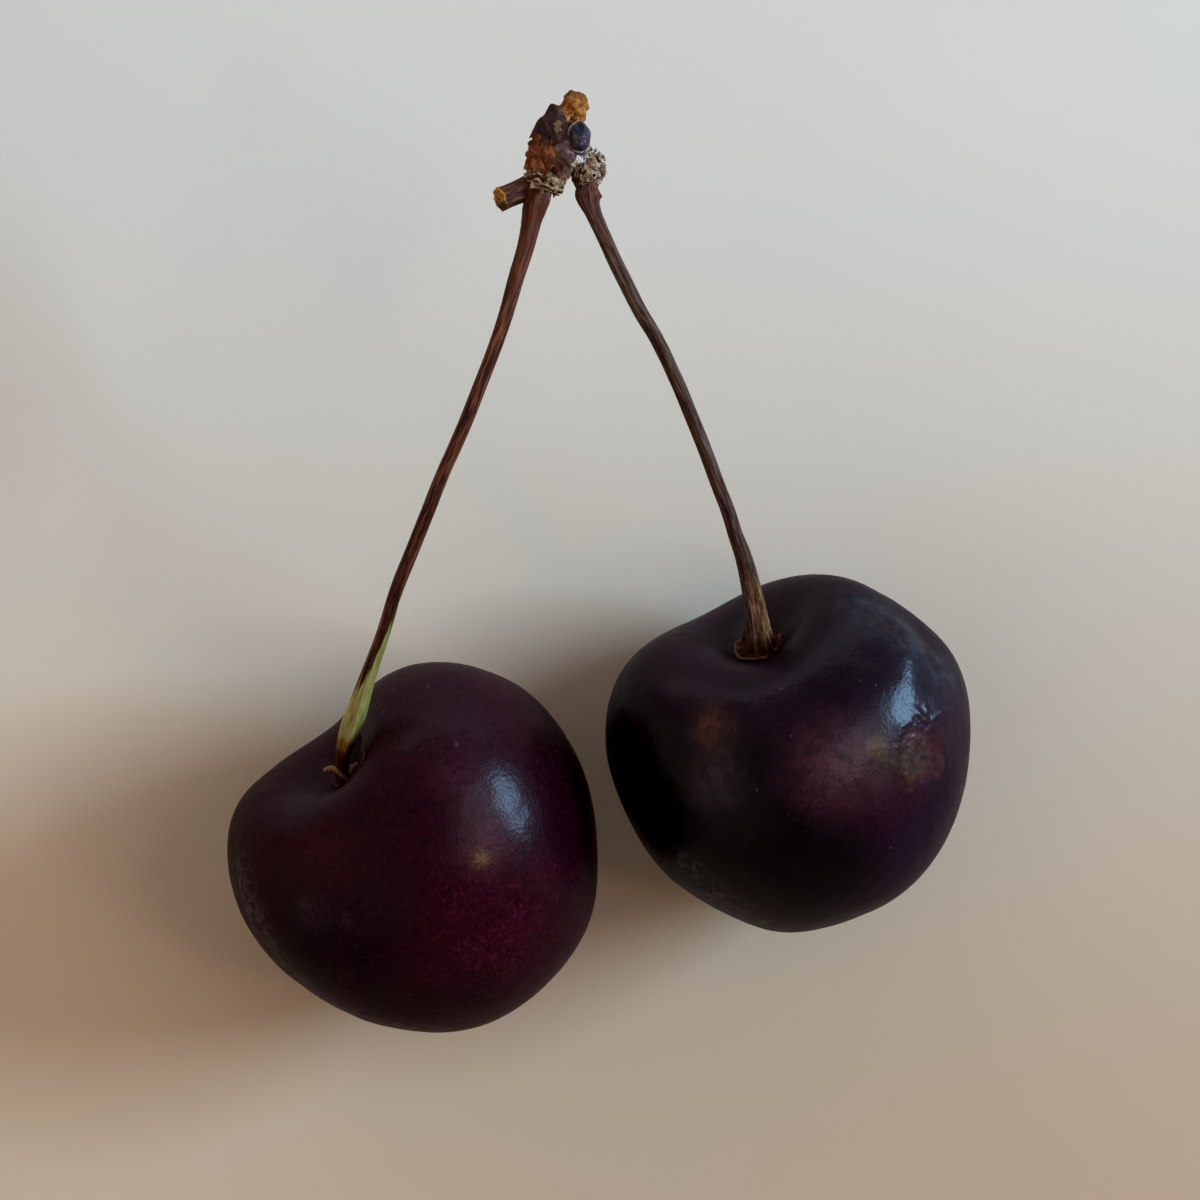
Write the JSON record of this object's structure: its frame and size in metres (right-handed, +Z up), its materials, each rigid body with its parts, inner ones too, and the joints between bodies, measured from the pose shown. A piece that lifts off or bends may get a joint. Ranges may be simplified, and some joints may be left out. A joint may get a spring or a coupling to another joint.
{
  "type": "pair of sweet cherries on stalks",
  "caption": "Dark sweet cherries on long stalks, joined at a short woody spur, lying on a surface with the stem cavities tilted up.",
  "frame": {"origin": "under the centre of the pair, on the surface that it lies on", "axes": "+X from the left fruit to the right one, +Y from the fruits towards the spur, +Z up"},
  "size_m": [0.054, 0.0666, 0.0288],
  "materials": {
    "skin_left": "smooth waxy fruit skin, very dark red to magenta, satin gloss with fine pale flecks and grey bloom",
    "skin_right": "smooth waxy fruit skin, near-black purple, satin gloss, with a brown wrinkled bruise",
    "stalk_green": "ridged fibrous stalk, red-brown above and green-yellow near the fruit",
    "stalk_dry": "dried ridged stalk, dark brown with silvery tan ridges",
    "calyx": "dried brown flower remnant",
    "spur_wood": "orange-brown bark with a torn orange end",
    "bud": "dark blue-black bud with a pale rim",
    "bract": "purple-brown dry bract with a cream edge",
    "scales": "dry papery brown bud scales with pale edges",
    "stub": "brown stalk foot with an orange broken end"
  },
  "bodies": {
    "root": {"cherry_left": "skin_left", "cherry_right": "skin_right", "stalk_left": "stalk_green", "stalk_right": "stalk_dry", "calyx_left": "calyx", "calyx_right": "calyx", "spur_wood": "spur_wood", "spur_bud": "bud", "spur_bract": "bract", "bud_scales_left": "scales", "bud_scales_right": "scales", "stalk_stub": "stub"}
  },
  "joints": []
}
